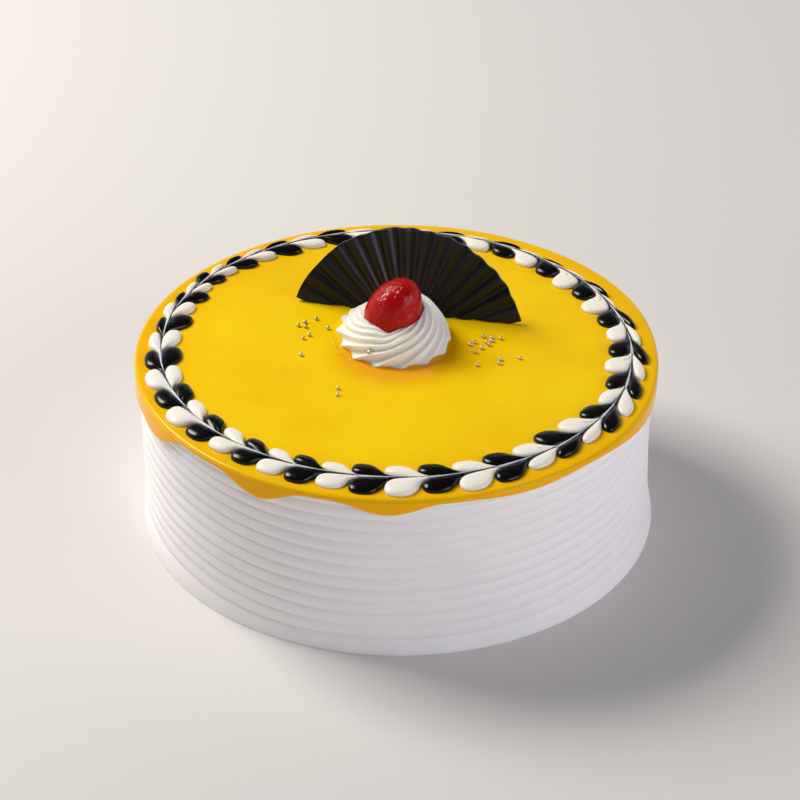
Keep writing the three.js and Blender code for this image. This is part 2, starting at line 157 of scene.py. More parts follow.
def knit(rows):
    """Vertices, faces and map of one skin, from an array of rows, columns and xyz."""
    row_count, around = rows.shape[:2]
    vertices = np.vstack([rows[:1, 0], rows[1:-1].reshape(-1, 3), rows[-1:, 0]])
    last = len(vertices) - 1
    column = np.arange(around)
    after = (column + 1) % around
    faces = [(0, b, a) for a, b in zip(1 + column, 1 + after)]
    for row in range(row_count - 3):
        low, high = 1 + row * around, 1 + (row + 1) * around
        faces += list(zip(low + column, low + after, high + after, high + column))
    top_row = 1 + (row_count - 3) * around
    faces += [(top_row + a, top_row + b, last) for a, b in zip(column, after)]
    climb = np.linalg.norm(np.diff(rows, axis=0), axis=2).mean(axis=1)
    up = np.concatenate([[0], np.cumsum(climb)])
    widest = np.abs(rows[:, :, :2]).max()
    along = 2 * math.pi * widest * np.arange(around + 1) / around
    flat = [((along[a], up[0]), (along[a + 1], up[1]), (along[a], up[1])) for a in column]
    for row in range(1, row_count - 2):
        for a in column:
            left, right = along[a], along[a + 1]
            flat.append(((left, up[row]), (right, up[row]), (right, up[row + 1]), (left, up[row + 1])))
    flat += [((along[a], up[-2]), (along[a + 1], up[-2]), (along[a], up[-1])) for a in column]
    return vertices, faces, flat


def make_piece(name, skins, material):
    """One object from one or more knitted skins in millimetres, smooth and with its map."""
    vertices, faces, flat, used = [], [], [], 0
    for skin_vertices, skin_faces, skin_flat in skins:
        vertices.append(skin_vertices)
        faces += [tuple(int(corner) + used for corner in face) for face in skin_faces]
        flat += skin_flat
        used += len(skin_vertices)
    mesh = bpy.data.meshes.new(name)
    mesh.from_pydata((np.vstack(vertices) * MM).tolist(), [], faces)
    layer = mesh.uv_layers.new(name="along_and_up")
    layer.data.foreach_set("uv", np.array([uv for face in flat for uv in face]).ravel() * MM)
    mesh.shade_smooth()
    mesh.materials.append(material)
    mesh.update()
    piece = bpy.data.objects.new(name, mesh)
    bpy.context.scene.collection.objects.link(piece)
    print(name, "has", used, "points and", len(faces), "faces")
    return piece


# %% [markdown]
# ## The camera
#
# The photograph looks down on the cake from the front at about 32 degrees through a long lens,
# which is why the top reads as a calm ellipse. The camera stands a little over a metre away.

# %% Place the camera
CAMERA_ELEVATION = math.radians(32.44)
CAMERA_DISTANCE = 1.0802  # m
CAMERA_ROLL = math.radians(0.31)
CAMERA_AIM = Vector((0.0006, 0.0, 0.0480))  # m
SENSOR = 36.0  # mm wide
LENS = 124.0  # mm

backward = Vector((0, -math.cos(CAMERA_ELEVATION), math.sin(CAMERA_ELEVATION)))
right = Vector((1, 0, 0))
upward = backward.cross(right)
rolled_right = right * math.cos(CAMERA_ROLL) + upward * math.sin(CAMERA_ROLL)
rolled_up = upward * math.cos(CAMERA_ROLL) - right * math.sin(CAMERA_ROLL)
camera_data = bpy.data.cameras.new("camera")
camera_data.sensor_width = SENSOR
camera_data.lens = LENS
camera = bpy.data.objects.new("camera", camera_data)
turn = Matrix((rolled_right, rolled_up, backward)).transposed()
camera.matrix_world = Matrix.Translation(CAMERA_AIM + backward * CAMERA_DISTANCE) @ turn.to_4x4()
bpy.context.scene.collection.objects.link(camera)
bpy.context.scene.camera = camera
print("camera at", [round(c, 3) for c in camera.matrix_world.translation])

# %% [markdown]
# ## Whipped cream, combed
#
# The side of the cake is covered in whipped cream, and a toothed scraper held against it while
# the stand turns leaves broad rounded ridges with narrow grooves between them. The ridges dip in
# front, because the hand was not level. Cream is matt and very light, and light enters it and
# comes out again a few millimetres on, which is what softens every groove. The ridges are modelled
# as real relief; only the tiny pores and the fine drag marks of the scraper are bump.

# %% Material: whipped cream
PORE = 0.9  # mm across
DRAG_WIDTH = 0.35  # mm, across a drag mark
DRAG_LENGTH = 14.0  # mm, along it
CLOUD = 35.0  # mm, patches that are a shade warmer or cooler


def whipped_cream(name, warm, cool, roughness, drag, scatter):
    material = new_material(name)
    place = add(material, "ShaderNodeTexCoord")
    clouds = add(
        material,
        "ShaderNodeTexNoise",
        {"Scale": 1 / (CLOUD * MM), "Detail": 3.0},
        {"Vector": place.outputs["Object"]},
    )
    colour = add(
        material,
        "ShaderNodeMix",
        {"data_type": "RGBA", 6: linear(warm), 7: linear(cool)},
        {0: clouds.outputs["Fac"]},
    )
    pores = add(
        material,
        "ShaderNodeTexNoise",
        {"Scale": 1 / (PORE * MM), "Detail": 4.0, "Roughness": 0.6},
        {"Vector": place.outputs["Object"]},
    )
    stretched = add(
        material,
        "ShaderNodeMapping",
        {"Scale": (1 / (DRAG_LENGTH * MM), 1 / (DRAG_WIDTH * MM), 1.0)},
        {"Vector": place.outputs["UV"]},
    )
    marks = add(
        material,
        "ShaderNodeTexNoise",
        {"Scale": 1.0, "Detail": 2.0},
        {"Vector": stretched.outputs["Vector"]},
    )
    pore_bump = add(
        material,
        "ShaderNodeBump",
        {"Strength": 0.25, "Distance": 0.12 * MM},
        {"Height": pores.outputs["Fac"]},
    )
    drag_bump = add(
        material,
        "ShaderNodeBump",
        {"Strength": drag, "Distance": 0.10 * MM},
        {"Height": marks.outputs["Fac"], "Normal": pore_bump.outputs["Normal"]},
    )
    finish_material(
        material,
        {
            "Roughness": roughness,
            "IOR": 1.45,
            "Subsurface Weight": scatter,
            "Subsurface Radius": (1.0, 0.85, 0.7),
            "Subsurface Scale": 2.5 * MM,
            "Specular IOR Level": 0.35,
        },
        {"Base Color": colour.outputs[2], "Normal": drag_bump.outputs["Normal"]},
    )
    return material


combed_cream = whipped_cream("whipped_cream_combed", "#f6f2ef", "#efebec", 0.55, 0.5, 0.35)

# %% The combed side
FIRST_GROOVE = 6.7
RIDGE_PITCH = 5.3
RIDGE_COUNT = 12
GROOVE_DEPTH = 1.05
RIDGE_SHAPE = 0.55  # a power: the lower, the broader the ridges and the narrower the grooves
WAIST = 0.5
FOOT_SPREAD = 0.3
LEVEL_FOOT, LEVEL_RIM = 14.0, 52.0  # between these heights the ridges follow the hand's rise and fall
RIDGE_RISE = 4.4
RISE_FRONT = -93
RIM_ROUNDING = 2.2
RIM_START = BODY_HEIGHT - RIM_ROUNDING
FLAT_RING = 60.0  # radius of the ring that carries the flat top and the flat bottom
SCRAPED_OFF = 0.2
# Unevenness of the hand: its depth, how many waves round the cake, mm of height for a radian of turn
HAND_WAVES = [(0.16, 3, 9), (0.1, 7, -4)]


def combed_radius(height):
    """Radius of the cream before the hand's unevenness: crests, grooves, a slight waist and the foot."""
    waist = WAIST * np.sin(math.pi * height / BODY_HEIGHT)
    foot = FOOT_SPREAD * (1 - smoothstep(height, 0, FIRST_GROOVE))
    turn = (height - FIRST_GROOVE) / RIDGE_PITCH
    crest = np.abs(np.sin(math.pi * turn)) ** RIDGE_SHAPE
    last_groove = FIRST_GROOVE + (RIDGE_COUNT - 1) * RIDGE_PITCH
    combed = smoothstep(height, 2.5, FIRST_GROOVE) * (1 - smoothstep(height, last_groove, last_groove + 2))
    return SIDE_RADIUS - waist + foot - GROOVE_DEPTH * (1 - crest) * combed


def ridge_rise(height, azimuth):
    off_floor = smoothstep(height, 0, LEVEL_FOOT)
    below_rim = 1 - smoothstep(height, LEVEL_RIM, BODY_HEIGHT - 2)
    return RIDGE_RISE * off_floor * below_rim * np.sin(np.radians(azimuth - RISE_FRONT)) ** 2


def combed_side():
    heights = np.linspace(0.0, RIM_START, 260)
    radii = combed_radius(heights)
    rim_turn = np.radians(np.linspace(15, 90, 6))
    rim_radii = SIDE_RADIUS - RIM_ROUNDING * (1 - np.cos(rim_turn))
    rim_heights = RIM_START + RIM_ROUNDING * np.sin(rim_turn)
    outline_radii = np.concatenate([[0, FLAT_RING, SIDE_RADIUS - 0.5], radii, rim_radii, [FLAT_RING, 0]])
    outline_heights = np.concatenate([[0, 0, 0], heights, rim_heights, [BODY_HEIGHT, BODY_HEIGHT]])
    outline_heights = np.minimum(outline_heights, BODY_HEIGHT)
    azimuth = 90 + np.arange(360)[None, :]
    height = outline_heights[:, None] + 0 * azimuth
    radius = outline_radii[:, None] + 0 * azimuth
    on_side = radius > SIDE_RADIUS / 2
    wobble = sum(
        depth * np.sin(np.radians(waves * azimuth) + height / turn) for depth, waves, turn in HAND_WAVES
    )
    between = smoothstep(height, 0, 8) * (1 - smoothstep(height, 60, BODY_HEIGHT - 3))
    uneven = (wobble - SCRAPED_OFF) * between
    radius = np.where(on_side, radius - flattening(azimuth, height) + uneven, radius)
    return round_points(radius, azimuth, height + ridge_rise(height, azimuth))


cream_side = make_piece("combed_cream_side", [knit(combed_side())], combed_cream)
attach(cream_side, "root")
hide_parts("cake_body")

# %% [markdown]
# ## Fruit glaze
#
# The top is a fruit glaze, poured warm and set like a soft jelly. It runs over the rim and hangs
# down the side in uneven scallops that end in a rounded bead. A set glaze is smooth and shiny but
# not a mirror: a palette knife leaves very low waves in it, and its yellow turns to amber where
# it is thick, toward the rim and at the hanging edge. Round the foot of the rosette the amber is
# partly glaze that pooled there and partly painted shade with a painted warm reflection.

# %% Material: set fruit glaze
KNIFE_WAVE = 28.0  # mm from wave to wave
PULP = 1.6  # mm, the faint grain of the fruit
THIN_TO, THICK_FROM = 70.0, 101.0  # mm from the middle, between which the glaze gets thicker
HANG_START, HANG_END = 0.2, 2.6  # mm below the top, between which the colour turns
ROSETTE_X, ROSETTE_Y = -2.2, 7.7
# The amber round the foot of the rosette is partly glaze that pooled there and partly painted shade with a
# painted warm reflection
SHADED_POOL_X, SHADED_POOL_Y = ROSETTE_X + 2, ROSETTE_Y - 8
SHADED_POOL_DEEP, SHADED_POOL_EDGE = 16.0, 32.0  # mm from the middle of the pool round the foot of the rosette


def fruit_glaze():
    material = new_material("fruit_glaze_set")
    place = add(material, "ShaderNodeTexCoord")
    waves = add(
        material,
        "ShaderNodeTexNoise",
        {"Scale": 1 / (KNIFE_WAVE * MM), "Detail": 5.0, "Roughness": 0.45},
        {"Vector": place.outputs["Object"]},
    )
    pulp = add(
        material,
        "ShaderNodeTexNoise",
        {"Scale": 1 / (PULP * MM), "Detail": 3.0},
        {"Vector": place.outputs["Object"]},
    )
    yellow = add(
        material,
        "ShaderNodeMix",
        {"data_type": "RGBA", 6: linear("#ffdc10"), 7: linear("#f4ba04")},
        {0: waves.outputs["Fac"]},
    )
    level_place = add(
        material,
        "ShaderNodeVectorMath",
        {"operation": "MULTIPLY", 1: (1, 1, 0)},
        {0: place.outputs["Object"]},
    )
    from_middle = add(
        material,
        "ShaderNodeVectorMath",
        {"operation": "LENGTH"},
        {0: level_place.outputs["Vector"]},
    )
    toward_rim = add(
        material,
        "ShaderNodeMapRange",
        {
            "From Min": THIN_TO * MM,
            "From Max": THICK_FROM * MM,
            "To Max": 0.5,
            "interpolation_type": "SMOOTHSTEP",
        },
        {"Value": from_middle.outputs["Value"]},
    )
    thicker = add(
        material,
        "ShaderNodeMix",
        {"data_type": "RGBA", 7: linear("#eaa602")},
        {0: toward_rim.outputs["Result"], 6: yellow.outputs[2]},
    )
    split = add(material, "ShaderNodeSeparateXYZ", {}, {"Vector": place.outputs["Object"]})
    hanging = add(
        material,
        "ShaderNodeMapRange",
        {
            "From Min": (TOP - HANG_START) * MM,
            "From Max": (TOP - HANG_END) * MM,
            "interpolation_type": "SMOOTHSTEP",
        },
        {"Value": split.outputs["Z"]},
    )
    hung = add(
        material,
        "ShaderNodeMix",
        {"data_type": "RGBA", 7: linear("#fcb406")},
        {0: hanging.outputs["Result"], 6: thicker.outputs[2]},
    )
    # Painted shade and a painted warm reflection round the foot of the rosette, over glaze that pooled a
    # little there
    from_shaded_pool = add(
        material,
        "ShaderNodeVectorMath",
        {"operation": "DISTANCE", 1: (SHADED_POOL_X * MM, SHADED_POOL_Y * MM, TOP * MM)},
        {0: place.outputs["Object"]},
    )
    pooled_and_shaded = add(
        material,
        "ShaderNodeMapRange",
        {
            "From Min": SHADED_POOL_EDGE * MM,
            "From Max": SHADED_POOL_DEEP * MM,
            "To Max": 0.85,
            "interpolation_type": "SMOOTHSTEP",
        },
        {"Value": from_shaded_pool.outputs["Value"]},
    )
    # Mixes in the amber of the painted shade round the rosette's foot
    colour = add(
        material,
        "ShaderNodeMix",
        {"data_type": "RGBA", 7: linear("#e29600")},
        {0: pooled_and_shaded.outputs["Result"], 6: hung.outputs[2]},
    )
    low_waves = add(
        material,
        "ShaderNodeBump",
        {"Strength": 0.5, "Distance": 0.5 * MM},
        {"Height": waves.outputs["Fac"]},
    )
    grain = add(
        material,
        "ShaderNodeBump",
        {"Strength": 0.12, "Distance": 0.06 * MM},
        {"Height": pulp.outputs["Fac"], "Normal": low_waves.outputs["Normal"]},
    )
    finish_material(
        material,
        {
            "Roughness": 0.25,
            "IOR": 1.38,
            "Subsurface Weight": 0.06,
            "Subsurface Radius": (0.8, 0.6, 0.1),
            "Subsurface Scale": 2.0 * MM,
            "Specular IOR Level": 0.1,
            "Coat Weight": 0.16,
            "Coat Roughness": 0.07,
        },
        {"Base Color": colour.outputs[2], "Normal": grain.outputs["Normal"]},
    )
    return material


set_glaze = fruit_glaze()

# %% The glaze and its hanging edge
GAP = 0.3
GLAZE_RADIUS = 102.2
EDGE_HEIGHT = 68.0
RIM_FALL = 1.2  # the rounded rim starts this far below the top
RIM_REACH = 1.6  # and ends this far in from the side
SHORTEST_RUN = 0.1
THINNER_EDGE = 0.12  # the edge is this much thinner where the glaze has hardly run
FLAT_TOP_ROWS = 42
# The knife left a low ring on one side, and fainter waves all over
RING_SIDE, RING_RADIUS, RING_WIDTH, RING_HEIGHT = -150, 52, 7, 0.16
WAVE_HEIGHT, WAVE_TURNS = 0.05, 17
# Each run: azimuth of its middle, half its width in degrees, length in mm
GLAZE_RUNS = [
    (-172, 18, 8.5),
    (-154, 14, 7.5),
    (-120, 11, 6.0),
    (-92, 12, 4.3),
    (-62, 16, 1.2),
    (-16, 32, 5.2),
    (34, 14, 3.6),
    (72, 15, 6.2),
    (112, 17, 3.4),
    (148, 14, 6.4),
]


def run_length(azimuth):
    length = SHORTEST_RUN + 0 * azimuth
    for middle, half_width, longest in GLAZE_RUNS:
        away = np.abs((azimuth - middle + 180) % 360 - 180) / half_width
        length = length + np.where(away < 1, longest * np.cos(away * math.pi / 2) ** 2, 0)
    return length


def glaze_skin():
    inner = SIDE_RADIUS + GAP
    bead = np.radians(np.linspace(180, 350, 8))
    bead_middle = (inner + GLAZE_RADIUS) / 2
    bead_radius = (GLAZE_RADIUS - inner) / 2
    rim = np.radians(np.linspace(0, 90, 10))
    hanging_radii = bead_middle + bead_radius * np.cos(bead)
    hanging_heights = EDGE_HEIGHT + bead_radius * (1 + np.sin(bead))
    side_heights = np.linspace(0.15, 1, 7)
    rim_radii = GLAZE_RADIUS - RIM_REACH * (1 - np.cos(rim))
    rim_heights = TOP - RIM_FALL * (1 - np.sin(rim))
    top_radii = np.linspace(GLAZE_RADIUS - RIM_REACH - 1, 0, FLAT_TOP_ROWS)
    side_radii = GLAZE_RADIUS + 0 * side_heights
    radii = np.concatenate([[0, SIDE_RADIUS - 2, inner], hanging_radii, side_radii, rim_radii, top_radii])
    below = EDGE_HEIGHT + bead_radius + (TOP - RIM_FALL - EDGE_HEIGHT - bead_radius) * side_heights
    on_body = [BODY_HEIGHT, BODY_HEIGHT, BODY_HEIGHT - 0.4]
    heights = np.concatenate([on_body, hanging_heights, below, rim_heights, TOP + 0 * top_radii])
    # 1 for the rows that hang down in runs, falling to 0 at the rim
    pulled = np.concatenate([[0, 0, 0], 1 + 0 * bead, 1 - side_heights, 0 * rim, 0 * top_radii])
    azimuth = 90 + np.arange(720)[None, :] / 2
    drop = pulled[:, None] * run_length(azimuth)
    height = heights[:, None] - drop
    swelling = -THINNER_EDGE * pulled[:, None] * (1 - smoothstep(run_length(azimuth), 2, 7))
    on_rim = radii[:, None] > SIDE_RADIUS / 2
    radius = radii[:, None] + np.where(on_rim, swelling - flattening(azimuth, height), 0)
    radius = np.where((pulled[:, None] > 0) & (radii[:, None] < bead_middle), radius - swelling, radius)
    points = round_points(radius, azimuth, height)
    spread = radii[:, None] / GLAZE_RADIUS
    ring = np.exp(-(((radii[:, None] - RING_RADIUS) / RING_WIDTH) ** 2)) * facing(azimuth, RING_SIDE) ** 3
    waves = WAVE_HEIGHT * np.sin(spread * WAVE_TURNS + np.radians(2 * azimuth))
    is_top = np.arange(len(radii)) >= len(radii) - FLAT_TOP_ROWS
    inside_garland = np.where(is_top, 1 - smoothstep(radii, 78, 90), 0)
    points[:, :, 2] += inside_garland[:, None] * (RING_HEIGHT * ring + waves - WAVE_HEIGHT)
    return points


# %% A wrinkle in the glaze
# Beside the rosette the knife pushed the half-set glaze up into one low shiny fold
WRINKLE = [(-26.4, 6.6), (-25, 4.4), (-24.2, 1), (-22.7, -2.3), (-21.6, -3), (-19.6, -5.6), (-18, -7.8)]
WRINKLE_WIDTH = 1.1
WRINKLE_HEIGHT = 0.5
WRINKLE_SUNK = 0.1
WRINKLE_UNEVEN = 0.2  # its width and height change by this share each way


def through_points(points, count):
    """A smooth curve through a few points, after Catmull and Rom."""
    points = np.array(points, float)
    padded = np.vstack([points[:1], points, points[-1:]])
    place = np.linspace(0, len(points) - 1, count)
    step = np.minimum(place.astype(int), len(points) - 2)
    t = (place - step)[:, None]
    a, b, c, d = (padded[step + shift] for shift in range(4))
    return 0.5 * (2 * b + (c - a) * t + (2 * a - 5 * b + 4 * c - d) * t**2 + (3 * b - a - 3 * c + d) * t**3)


def wrinkle_skin():
    middle = through_points(WRINKLE, 60)
    forward = np.gradient(middle, axis=0)
    forward = forward / np.linalg.norm(forward, axis=1)[:, None]
    aside = np.stack([-forward[:, 1], forward[:, 0]], axis=1)
    part = np.linspace(0, 1, len(middle))
    size = np.sqrt(np.clip(1 - (2 * part - 1) ** 4, 0, 1))
    size = size * (1 - WRINKLE_UNEVEN + WRINKLE_UNEVEN * np.sin(13 * part))
    turn = -np.radians(np.arange(0, 360, 20))
    reach = size[:, None] * np.cos(turn) * WRINKLE_WIDTH / 2
    flat = middle[:, None, :] + reach[..., None] * aside[:, None, :]
    height = TOP - WRINKLE_SUNK + size[:, None] * np.sin(turn) * WRINKLE_HEIGHT
    return np.concatenate([flat, height[..., None]], axis=-1)


glaze = make_piece("fruit_glaze_top", [knit(glaze_skin()), knit(wrinkle_skin())], set_glaze)
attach(glaze, "root")
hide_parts("yellow_glaze")

# %% [markdown]
# ## The garland
#
# Drops of dark and of white icing were set down by turns round the rim. While they were still
# soft, a skewer pulled once round through all of them gave each drop its heart shape, two lobes
# with a crease between, and drew a thread of its colour out over the next one. The rule that makes
# the plain solids makes these drops too, only with more points, and the threads are added.

# %% Materials: dark glaze and white icing
LEVELLING = 6.0  # mm, the faint waves that stay when icing settles


def settled_icing(name, colour, shade, roughness, scatter, shine):
    material = new_material(name)
    place = add(material, "ShaderNodeTexCoord")
    waves = add(
        material,
        "ShaderNodeTexNoise",
        {"Scale": 1 / (LEVELLING * MM), "Detail": 2.0},
        {"Vector": place.outputs["Object"]},
    )
    mixed = add(
        material,
        "ShaderNodeMix",
        {"data_type": "RGBA", 6: linear(colour), 7: linear(shade)},
        {0: waves.outputs["Fac"]},
    )
    bump = add(
        material,
        "ShaderNodeBump",
        {"Strength": 0.2, "Distance": 0.15 * MM},
        {"Height": waves.outputs["Fac"]},
    )
    finish_material(
        material,
        {
            "Roughness": roughness,
            "IOR": 1.40,
            "Subsurface Weight": scatter,
            "Subsurface Radius": (1.0, 0.8, 0.55),
            "Subsurface Scale": 1.2 * MM,
            "Specular IOR Level": shine,
        },
        {"Base Color": mixed.outputs[2], "Normal": bump.outputs["Normal"]},
    )
    return material


dark_glaze = settled_icing("dark_chocolate_glaze", "#050404", "#0a0807", 0.19, 0.0, 0.4)
white_icing = settled_icing("white_icing", "#f8f4e9", "#f1ebdd", 0.32, 0.25, 0.35)
dark_thread = settled_icing("dark_glaze_over_white", "#34343a", "#4b4b50", 0.2, 0.0, 0.3)
light_thread = settled_icing("white_icing_over_dark", "#dfe1e8", "#cfd2db", 0.3, 0.1, 0.35)

# %% The rule of the drops
DROP_COUNT = 48
DROP_HEIGHT = 2.6
DROP_GAP = 0.12
HEIGHT_JITTER = 0.1
CREASE_DEPTH = 0.4  # of the height, along the line on which the two lobes meet
CREASE_WIDTH = 1.6
FIRST_EDGE = -171.9  # azimuth where the first drop starts, before the drift
# What changes round the cake, in degrees or in millimetres
SPACING_DRIFT = (0, [(5.3, -152), (1.6, 178), (1.6, 123), (1.2, 118), (0.4, 104)])
LINE_RADIUS = (91.4, [(2, 119), (0.7, -103)])
OUTER_REACH = (5.5, [(3.5, -100), (0.1, -165), (0.4, -59)])  # of the lobes, from the line
INNER_REACH = (7.9, [(1.4, -11), (0.2, -19), (0.5, -148)])
OUTER_LAG = (2.3, [(3.9, 13), (0.9, 83)])  # how far back a lobe lies
INNER_LAG = (1.6, [(1.2, -157), (0.7, -127)])
LAG_DISTANCE = 6  # from the line, where the lag has these values
DARK_LARGER = 0.3  # the dark drops reach this much farther both ways, the white ones less
REACH_JITTER = 0.3
# Drops that came out uneven: how much more their outer and their inner lobe reach
UNEVEN_DROPS = {
    0: (0, 1), 1: (1, 0), 3: (1.5, 0), 5: (-1, 0), 6: (-1, 0), 10: (1, 0.8), 11: (2, 0), 13: (2, 0),
    15: (-1, 0), 16: (-1.5, 1.5), 17: (-1.5, 1.5), 18: (0, -1), 19: (1, -2), 20: (0, -1.5),
    21: (0, 1.5), 22: (1, 0), 25: (-1, 2.5), 27: (0, 2.5), 28: (-1, 0), 30: (0.5, -1.5), 31: (0, -1),
    38: (0, 1), 41: (0, -1.5), 42: (1, -1), 43: (0, -1.5), 44: (-1, 1), 46: (-1.5, 2),
}  # fmt: skip
SHORTEST_REACH = 1.8
TAIL_LENGTH = 6.6  # of the tail in which the two lobes end, drawn forward along the line
TAIL_REACH = 1.2  # how fast it narrows
ALONG_POWER = 0.74
ACROSS_POWER = 0.75
LINE_CROWDING = 2.0


def drop_edge(index):
    evenly = 360 * index / DROP_COUNT
    return FIRST_EDGE + evenly + round_the_cake(SPACING_DRIFT, evenly)


def jitter(index, purpose):
    """A number between -1 and 1 that looks random, and is the same on every run."""
    wave = math.sin(index * 12.9898 + purpose * 78.233) * 43758.5453
    return 2 * (wave - math.floor(wave)) - 1


def boundary_shift(azimuth, distance):
    """How far forward the boundary between two drops lies: a tail at the line, lobes that lag behind."""
    away = np.abs(distance)
    lag = np.where(distance > 0, round_the_cake(OUTER_LAG, azimuth), round_the_cake(INNER_LAG, azimuth))
    return TAIL_LENGTH * np.exp(-away / TAIL_REACH) - lag * away / LAG_DISTANCE


print("the first drops start at", [round(drop_edge(index), 1) for index in range(3)], "degrees")

# %% One drop
DROP_ROWS, DROP_SIDES = 13, 64
DOME_POWER = 2 / 3


def crowded_turn():
    """Angles round a drop, in radians, crowded where the outline crosses the line."""
    quarter = np.arange(DROP_SIDES) * 4 / DROP_SIDES
    whole = np.floor(quarter)
    part = quarter - whole
    crowded = np.where(whole % 2 == 0, 1 - (1 - part) ** LINE_CROWDING, part**LINE_CROWDING)
    return (whole + crowded)[None, :] * math.pi / 2


def drop_skin(index):
    start, end = drop_edge(index), drop_edge(index + 1)
    middle, half = (start + end) / 2, (end - start) / 2
    larger = -DARK_LARGER if index % 2 else DARK_LARGER
    more_outer, more_inner = UNEVEN_DROPS.get(index, (0, 0))
    outer = round_the_cake(OUTER_REACH, middle) + larger + more_outer + REACH_JITTER * jitter(index, 1)
    inner = round_the_cake(INNER_REACH, middle) + larger + more_inner + REACH_JITTER * jitter(index, 2)
    outer, inner = max(SHORTEST_REACH, outer), max(SHORTEST_REACH, inner)
    height = DROP_HEIGHT * (1 + HEIGHT_JITTER * jitter(index, 3))
    climb = np.radians(np.linspace(0, 90, DROP_ROWS))
    size = np.concatenate([[0], np.cos(climb) ** DOME_POWER])[:, None]
    rise = np.concatenate([[0], np.sin(climb) ** DOME_POWER])[:, None]
    turn = crowded_turn()
    along = size * np.sign(np.sin(turn)) * np.abs(np.sin(turn)) ** ALONG_POWER
    across = size * np.sign(np.cos(turn)) * np.abs(np.cos(turn)) ** ACROSS_POWER
    distance = across * np.where(across > 0, outer, inner)
    place = middle + along * half
    line = round_the_cake(LINE_RADIUS, place)
    forward = boundary_shift(place, distance) - along * DROP_GAP / 2
    azimuth = place + np.degrees(forward / line)
    crease = 1 - CREASE_DEPTH * np.exp(-((distance / CREASE_WIDTH) ** 2))
    points = round_points(line + distance, azimuth, TOP + height * rise * crease)
    return knit(points[:, ::-1])


# %% [markdown]
# ### The threads
#
# Where the skewer left a drop it carried a little of its colour with it, so the tail runs out along
# the crease of the next drop, in a thread a little over a millimetre wide that thins to less than
# half of one. A film this thin lets the colour below through: white looks bluish over dark, dark
# looks grey over white.

# %% The threads between drops
THREAD_START = 0.5  # mm past the edge of its own drop
THREAD_OVERRUN = 6.0  # mm past the end of the next drop
THREAD_WIDTH = 2.5  # of the film where it leaves its own drop, before its rounded start
THREAD_END_WIDTH = 0.45
THREAD_TAPER = 3.5  # how fast it narrows
THREAD_TOP = 1.78  # its crest above the glaze
THREAD_DEPTH = 0.5
THREAD_SIDE_STEP = 0.22  # neighbouring threads lie side by side where they overlap
THREAD_WAVER = 0.08


def thread_skin(index):
    line = round_the_cake(LINE_RADIUS, drop_edge(index))
    begin = drop_edge(index + 1) + np.degrees(THREAD_START / line)
    finish = drop_edge(index + 2) + np.degrees(THREAD_OVERRUN / line)
    part = np.linspace(0, 1, 48)
    width = THREAD_END_WIDTH + (THREAD_WIDTH - THREAD_END_WIDTH) * np.exp(-part * THREAD_TAPER)
    width = width * smoothstep(part, -0.05, 0.25) * np.sqrt(1 - part**6)
    azimuth = begin + (finish - begin) * part
    waver = THREAD_SIDE_STEP * (1 - 2 * part) + THREAD_WAVER * np.sin(part * 5 + 1.7 * index)
    round_way = np.radians(np.arange(0, 360, 24))
    rows = []
    for place, spread, step in zip(azimuth, width, waver):
        radius = round_the_cake(LINE_RADIUS, place) + step + spread / 2 * np.cos(round_way)
        height = TOP + THREAD_TOP - THREAD_DEPTH + THREAD_DEPTH * np.sin(round_way)
        rows.append(round_points(radius, place + 0 * round_way, height))
    return knit(np.array(rows))


for colour, first, drop_material, thread_material, slot in [
    ("black", 0, dark_glaze, dark_thread, "black_glaze"),
    ("white", 1, white_icing, light_thread, "white_icing"),
]:
    own = range(first, DROP_COUNT, 2)
    drops = make_piece(colour + "_drops", [drop_skin(index) for index in own], drop_material)
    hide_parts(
        *[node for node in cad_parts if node.startswith("drop_") and node.endswith(colour)]
    )
    threads = make_piece(colour + "_threads", [thread_skin(index) for index in own], thread_material)
    for part_of_garland in (drops, threads):
        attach(part_of_garland, "root")

# %% [markdown]
# ## The chocolate fan
#
# Melted chocolate spread in a pleated paper cup sets as a folded half disc, thin and crisp. Its
# pleats run together at a point below the glaze. Chocolate that set against paper has a dull
# shine, brighter along the top of each pleat. The sheet is a net of points, each set by the rule
# of the folds, and a Solidify modifier gives it its thickness.

# %% Material: dark chocolate
BLOOM = 9.0  # mm, soft patches where the cocoa butter has set less shiny


def dark_chocolate():
    material = new_material("dark_chocolate")
    place = add(material, "ShaderNodeTexCoord")
    patches = add(
        material,
        "ShaderNodeTexNoise",
        {"Scale": 1 / (BLOOM * MM), "Detail": 4.0},
        {"Vector": place.outputs["Object"]},
    )
    colour = add(
        material,
        "ShaderNodeMix",
        {"data_type": "RGBA", 6: linear("#14110d"), 7: linear("#1c1813")},
        {0: patches.outputs["Fac"]},
    )
    gloss = add(
        material,
        "ShaderNodeMapRange",
        {"From Min": 0.35, "From Max": 0.65, "To Min": 0.24, "To Max": 0.4},
        {"Value": patches.outputs["Fac"]},
    )
    bump = add(
        material,
        "ShaderNodeBump",
        {"Strength": 0.3, "Distance": 0.25 * MM},
        {"Height": patches.outputs["Fac"]},
    )
    finish_material(
        material,
        {"IOR": 1.45, "Specular IOR Level": 0.28},
        {
            "Base Color": colour.outputs[2],
            "Roughness": gloss.outputs["Result"],
            "Normal": bump.outputs["Normal"],
        },
    )
    return material


chocolate = dark_chocolate()

# %% Fold the fan
FAN_X, FAN_Y = 3.6, 29.1
FAN_TURN = math.radians(-11.4)
FAN_LEAN = math.radians(14)
FAN_RADIUS = 48.0
FAN_BURIED = 13.3
FAN_END = 18.1
FAN_THICKNESS = 1.4
PLEAT_COUNT = 16
PLEAT_DEPTH = 0.9
PLEAT_START = 0.1  # the pleats grow to that depth over this part of the fan, from each end
PLEAT_ROUNDNESS = 0.12  # how much flatter than a plain wave the top of a pleat is
RIM_UNEVENNESS = 0.004  # of the radius


